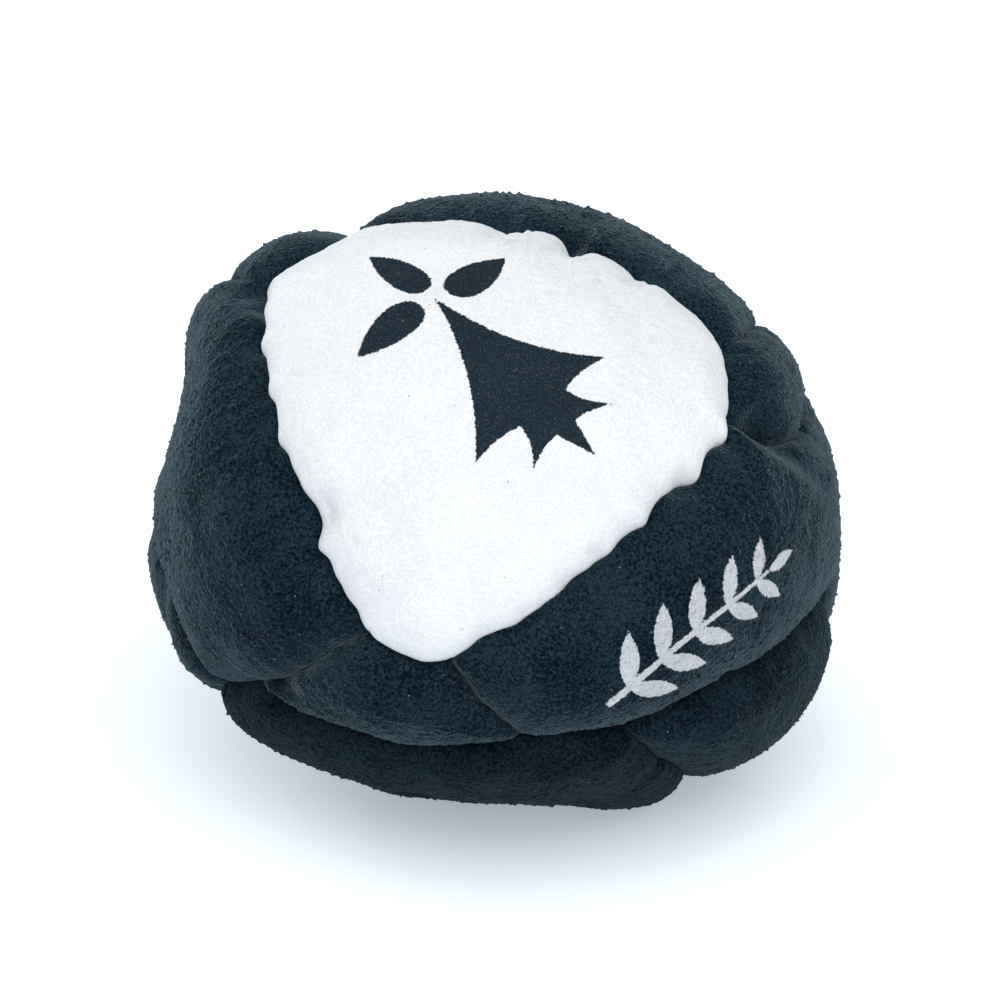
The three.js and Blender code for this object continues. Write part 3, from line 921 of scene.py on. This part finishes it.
def mix_node(tree, factor, first, second):
    """A mix of two colours."""
    inputs = {0: factor, 6: first, 7: second}
    return add_node(tree, "ShaderNodeMix", inputs, data_type="RGBA").outputs[2]


def nap_group():
    """Suede nap: its height, how far it is brushed up, and specks of lint."""
    inputs = {"Tuft Size": 0.25 * MM, "Brushing Size": 5 * MM, "Lint": 0.5}
    group, given, result = new_group("Suede Nap", inputs, ("Height", "Brushed Up", "Lint Mask"))
    place = add_node(group, "ShaderNodeTexCoord").outputs["Object"]
    per_tuft = math_node(group, "DIVIDE", 1.0, given.outputs["Tuft Size"])
    per_brushing = math_node(group, "DIVIDE", 1.0, given.outputs["Brushing Size"])
    brushing = noise_node(group, place, per_brushing, detail=3.0)
    lean = add_node(
        group, "ShaderNodeTexNoise", inputs={"Vector": place, "Scale": per_brushing, "Detail": 1.0})
    swept = add_node(
        group, "ShaderNodeVectorMath", operation="MULTIPLY_ADD",
        inputs={0: lean.outputs["Color"], 1: (1.5 * MM, 1.5 * MM, 1.5 * MM), 2: place})
    tufts = noise_node(group, swept.outputs[0], per_tuft, detail=3.0, roughness=0.6)
    squeezed = add_node(
        group, "ShaderNodeMapping",
        inputs={"Vector": swept.outputs[0], "Rotation": (0.5, 0.3, 0.7), "Scale": (1, 0.45, 1)})
    fibres = noise_node(group, squeezed.outputs[0], math_node(group, "MULTIPLY", per_tuft, 2.0), detail=2.0)
    height = math_node(group, "ADD", tufts, math_node(group, "MULTIPLY", fibres, 0.6))
    from_tufts = math_node(group, "MULTIPLY", tufts, 0.6)
    from_fibres = math_node(group, "MULTIPLY", fibres, 0.4)
    from_brushing = math_node(group, "MULTIPLY", math_node(group, "SUBTRACT", brushing, 0.5), 0.25)
    up = math_node(group, "ADD", math_node(group, "ADD", from_tufts, from_fibres), from_brushing)
    # A lint cell is some five tufts wide, and its speck a ninth of that
    cells = add_node(
        group, "ShaderNodeTexVoronoi", feature="F1",
        inputs={"Vector": place, "Scale": math_node(group, "MULTIPLY", per_tuft, 0.22)})
    speck = math_node(group, "LESS_THAN", cells.outputs["Distance"], 0.055)
    chosen = math_node(group, "LESS_THAN", cells.outputs["Color"], given.outputs["Lint"])
    set_inputs(group, result, {
        "Height": height,
        "Brushed Up": ramp_node(group, up, 0.42, 0.6),
        "Lint Mask": math_node(group, "MULTIPLY", speck, chosen),
    })
    return group


def ink_group():
    """Where a print covers the nap, from the distance to its edge."""
    inputs = {"Distance": 1.0, "Raggedness": 0.1 * MM, "Wear": 0.1}
    group, given, result = new_group("Print Ink", inputs, ("Cover",))
    place = add_node(group, "ShaderNodeTexCoord").outputs["Object"]
    wander = noise_node(group, place, 1 / (0.22 * MM), detail=3.0, roughness=0.7)
    shift = math_node(
        group, "MULTIPLY", math_node(group, "SUBTRACT", wander, 0.5), math_node(
            group, "MULTIPLY", given.outputs["Raggedness"], 4.0))
    ragged = math_node(group, "ADD", given.outputs["Distance"], shift)
    inside = ramp_node(group, ragged, 0.03 * MM, -0.03 * MM)
    worn = noise_node(group, place, 1 / (0.12 * MM), detail=2.0)
    kept = math_node(group, "SUBTRACT", 1.0, math_node(
        group, "MULTIPLY", ramp_node(group, worn, 0.58, 0.7), given.outputs["Wear"]))
    set_inputs(group, result, {"Cover": math_node(group, "MULTIPLY", inside, kept)})
    return group


def shared_group(name, builder):
    """A shader group by name, built the first time."""
    return bpy.data.node_groups.get(name) or builder()


def new_material(name):
    """A material with its node tree and its surface shader."""
    material = bpy.data.materials.new(name)
    material.use_nodes = True
    return material, material.node_tree, material.node_tree.nodes["Principled BSDF"]


def add_relief(tree, shader, height, strength, distance):
    """Fine relief on a material's surface."""
    inputs = {"Height": height, "Strength": strength, "Distance": distance}
    relief = add_node(tree, "ShaderNodeBump", inputs)
    set_inputs(tree, shader, {"Normal": relief.outputs["Normal"]})


def suede_material(name, low, high, lint, lint_share, bump, sheen, ink=None, wear=0.1, prints=None):
    """Napped suede between two colours, printed where the panel holds a print."""
    material, tree, shader = new_material(name)
    nap = add_node(
        tree, "ShaderNodeGroup", {"Lint": lint_share}, node_tree=shared_group("Suede Nap", nap_group))
    color = mix_node(tree, nap.outputs["Brushed Up"], tuple(low), tuple(high))
    if ink is not None:
        distance = add_node(tree, "ShaderNodeAttribute", attribute_name="print_distance")
        inputs = {"Distance": distance.outputs["Fac"], "Raggedness": prints.raggedness, "Wear": wear}
        cover = add_node(tree, "ShaderNodeGroup", inputs, node_tree=shared_group("Print Ink", ink_group))
        shade = mix_node(tree, nap.outputs["Brushed Up"], tuple(0.8 * c for c in ink[:3]) + (1,), tuple(ink))
        color = mix_node(tree, cover.outputs["Cover"], color, shade)
    color = mix_node(tree, nap.outputs["Lint Mask"], color, tuple(lint))
    set_inputs(tree, shader, {
        "Base Color": color,
        "Roughness": 0.95,
        "Specular IOR Level": 0.02,
        "Sheen Weight": sheen,
        "Sheen Roughness": 0.23,
        "Sheen Tint": (0.62, 0.83, 0.93, 1),
    })
    add_relief(tree, shader, nap.outputs["Height"], bump, 0.3 * MM)
    return material


def thread_material(stitches):
    """Twisted sewing thread."""
    material, tree, shader = new_material("Sewing Thread")
    place = add_node(tree, "ShaderNodeTexCoord").outputs["Object"]
    fibres = noise_node(tree, place, 1 / (0.1 * MM), detail=3.0)
    dark = tuple(stitches.thread_color)
    pale = tuple(min(1, 3 * c) for c in dark[:3]) + (1,)
    color = mix_node(tree, fibres, dark, pale)
    set_inputs(tree, shader, {"Base Color": color, "Roughness": 0.6, "Specular IOR Level": 0.1})
    add_relief(tree, shader, fibres, 0.4, 0.05 * MM)
    return material


def grain_material():
    """Loose plastic grains, seen as a packed mass."""
    material, tree, shader = new_material("Plastic Grains")
    place = add_node(tree, "ShaderNodeTexCoord").outputs["Object"]
    cells = add_node(tree, "ShaderNodeTexVoronoi", inputs={"Vector": place, "Scale": 1 / (3 * MM)})
    # Painted shade: each grain is pale in its middle and darker towards its edges, where grains meet
    shade = ramp_node(tree, cells.outputs["Distance"], 0.0, 0.8)
    color = mix_node(tree, shade, (0.62, 0.59, 0.5, 1), (0.24, 0.22, 0.18, 1))
    set_inputs(tree, shader, {"Base Color": color, "Roughness": 0.55})
    round_top = math_node(tree, "SUBTRACT", 1.0, cells.outputs["Distance"])
    add_relief(tree, shader, round_top, 0.8, 1 * MM)
    return material


def floor_material(stage):
    """Matt pale board, lit from beneath a little."""
    material, tree, shader = new_material("Pale Board")
    set_inputs(tree, shader, {
        "Base Color": stage.floor_color,
        "Roughness": 0.8,
        "Specular IOR Level": 0.1,
        "Emission Color": (0.82, 0.92, 1, 1),
        "Emission Strength": stage.floor_glow,
    })
    return material


# Operators


def mesh_step():
    """Distance between a panel's points."""
    return 0.2 * MM


def add_panel(bag, node, loop, material, strand_share=1.0):
    """Builds a panel in place of its plain solid."""
    panel = PanelMesh(bag, loop, mesh_step(), strand_share)
    piece = panel.object(f"{node}_suede")
    piece.data.materials.append(material)
    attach(piece, BODY)
    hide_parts(node)
    return panel, piece


def dark_suede(scene, node):
    """The dark suede of a panel: printed with white ink, darkened with painted shade on the lower panels, or
    plain.
    """
    suede, prints = scene.footbag_suede, scene.footbag_print
    name, shade, sheen = PAINTED_SHADE_PANELS.get(node, ("Dark Suede", 1.0, suede.sheen))
    ink = None
    if node == SPRIG_PANEL:
        name, ink = "Dark Suede Printed", prints.white_ink
    if name in bpy.data.materials:
        return bpy.data.materials[name]
    # Painted shade: the lower panels' colours are scaled down by their share
    low, high = (tuple(shade * c for c in color[:3]) + (1,) for color in (suede.dark, suede.dark_raised))
    return suede_material(
        name, low, high, suede.lint, 0.35, bump=0.7, sheen=sheen, ink=ink, wear=0.5, prints=prints)


class FOOTBAG_OT_top_panel(bpy.types.Operator):
    """Add the white top panel with its ermine spot"""

    bl_idname = "footbag.top_panel"
    bl_label = "White Top Panel"

    def execute(self, context):
        scene = context.scene
        bag = Bag(scene)
        suede, prints = scene.footbag_suede, scene.footbag_print
        material = suede_material(
            "White Suede", suede.white, suede.white_raised, suede.lint, 0.3,
            bump=0.35, sheen=suede.sheen, ink=prints.dark_ink, wear=0.08, prints=prints)
        for node, loop in WHITE_PANELS.items():
            panel, piece = add_panel(bag, node, loop, material, strand_share=0.3)
            add_print(panel, piece, ermine_spot(prints.spot_length), SPOT_PLACE, SPOT_TURN)
        return {"FINISHED"}


class FOOTBAG_OT_large_panels(bpy.types.Operator):
    """Add the large dark panels with six sides"""

    bl_idname = "footbag.large_panels"
    bl_label = "Large Dark Panels"

    def execute(self, context):
        scene = context.scene
        bag = Bag(scene)
        for node, loop in LARGE_PANELS.items():
            panel, piece = add_panel(bag, node, loop, dark_suede(scene, node))
            if node == SPRIG_PANEL:
                sprig = leaf_sprig(scene.footbag_print.sprig_length)
                add_print(panel, piece, sprig, SPRIG_PLACE, SPRIG_TURN)
        return {"FINISHED"}


class FOOTBAG_OT_small_panels(bpy.types.Operator):
    """Add the small dark panels with four sides"""

    bl_idname = "footbag.small_panels"
    bl_label = "Small Dark Panels"

    def execute(self, context):
        bag = Bag(context.scene)
        for node, loop in SMALL_PANELS.items():
            add_panel(bag, node, loop, dark_suede(context.scene, node))
        return {"FINISHED"}


class FOOTBAG_OT_threads(bpy.types.Operator):
    """Add the sewing threads in the seams"""

    bl_idname = "footbag.threads"
    bl_label = "Sewing Threads"

    def execute(self, context):
        bag = Bag(context.scene)
        material = thread_material(bag.stitches)
        for node, corners in THREAD_RUNS.items():
            piece = thread_piece(f"{node}_stitches", *thread_path(bag, corners), bag.stitches.thread / 2)
            piece.data.materials.append(material)
            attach(piece, BODY)
            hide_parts(node)
        return {"FINISHED"}


class FOOTBAG_OT_filling(bpy.types.Operator):
    """Give the filling its grains"""

    bl_idname = "footbag.filling"
    bl_label = "Filling"

    def execute(self, context):
        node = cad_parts["filling"]
        for holder in node.material_slots:
            holder.material = grain_material()
        return {"FINISHED"}


def add_area_light(name, place, size, power, aim):
    """A square soft light that faces a point."""
    light = bpy.data.lights.new(name, "AREA")
    light.shape = "SQUARE"
    light.size = size
    light.energy = power
    lamp = bpy.data.objects.new(name, light)
    lamp.location = place
    lamp.rotation_euler = (Vector(aim) - Vector(place)).to_track_quat("-Z", "Y").to_euler()
    bpy.context.scene.collection.objects.link(lamp)


class FOOTBAG_OT_stage(bpy.types.Operator):
    """Add the floor, the lights and the camera"""

    bl_idname = "footbag.stage"
    bl_label = "Studio"

    def execute(self, context):
        scene = context.scene
        scene.view_settings.view_transform = "Standard"
        stage = scene.footbag_stage
        half = stage.floor_width / 2
        corners = [(-half, -half, 0), (half, -half, 0), (half, half, 0), (-half, half, 0)]
        floor = mesh_piece("studio_floor", corners, [(0, 1, 2, 3)])
        floor.data.materials.append(floor_material(stage))
        aim = (0, 0, stage.aim_height)
        for softbox in SOFTBOXES:
            add_area_light(*softbox, aim)
        world = bpy.data.worlds.new("Studio")
        world.use_nodes = True
        tree = world.node_tree
        inputs = {"Color": (0.95, 0.97, 1, 1), "Strength": stage.surroundings}
        set_inputs(tree, tree.nodes["Background"], inputs)
        scene.world = world
        camera_data = bpy.data.cameras.new("studio_camera")
        camera_data.lens = stage.lens
        camera_data.sensor_width = 36
        camera_data.clip_start = 0.01
        camera = bpy.data.objects.new("studio_camera", camera_data)
        rise = stage.camera_rise
        camera.location = (
            0,
            -stage.camera_distance * math.cos(rise),
            stage.aim_height + stage.camera_distance * math.sin(rise),
        )
        camera.rotation_euler = (math.pi / 2 - rise, 0, 0)
        scene.collection.objects.link(camera)
        scene.camera = camera
        return {"FINISHED"}


class FOOTBAG_PT_pieces(bpy.types.Panel):
    """Lists the pieces of the footbag and their settings"""

    bl_label = "Stitched Footbag"
    bl_idname = "FOOTBAG_PT_pieces"
    bl_space_type = "VIEW_3D"
    bl_region_type = "UI"
    bl_category = "Footbag"

    def draw(self, context):
        for operator in PIECES:
            self.layout.operator(operator.bl_idname)
        for name, group in SETTINGS.items():
            box = self.layout.box()
            box.label(text=group.__doc__)
            for key in group.__annotations__:
                box.prop(getattr(context.scene, name), key)


PIECES = (
    FOOTBAG_OT_stage,
    FOOTBAG_OT_top_panel,
    FOOTBAG_OT_large_panels,
    FOOTBAG_OT_small_panels,
    FOOTBAG_OT_threads,
    FOOTBAG_OT_filling,
)
CLASSES = (*SETTINGS.values(), *PIECES, FOOTBAG_PT_pieces)


def register():
    """Registers the classes and hangs the settings on the scene."""
    for cls in CLASSES:
        bpy.utils.register_class(cls)
    for name, group in SETTINGS.items():
        setattr(bpy.types.Scene, name, PointerProperty(type=group))


def unregister():
    """Takes the settings and classes away again."""
    for name in SETTINGS:
        delattr(bpy.types.Scene, name)
    for cls in reversed(CLASSES):
        bpy.utils.unregister_class(cls)


def main():
    """Builds every piece in order."""
    register()
    bpy.ops.footbag.stage()
    bpy.ops.footbag.top_panel()
    bpy.ops.footbag.large_panels()
    bpy.ops.footbag.small_panels()
    bpy.ops.footbag.threads()
    bpy.ops.footbag.filling()


if __name__ == "__main__":
    main()
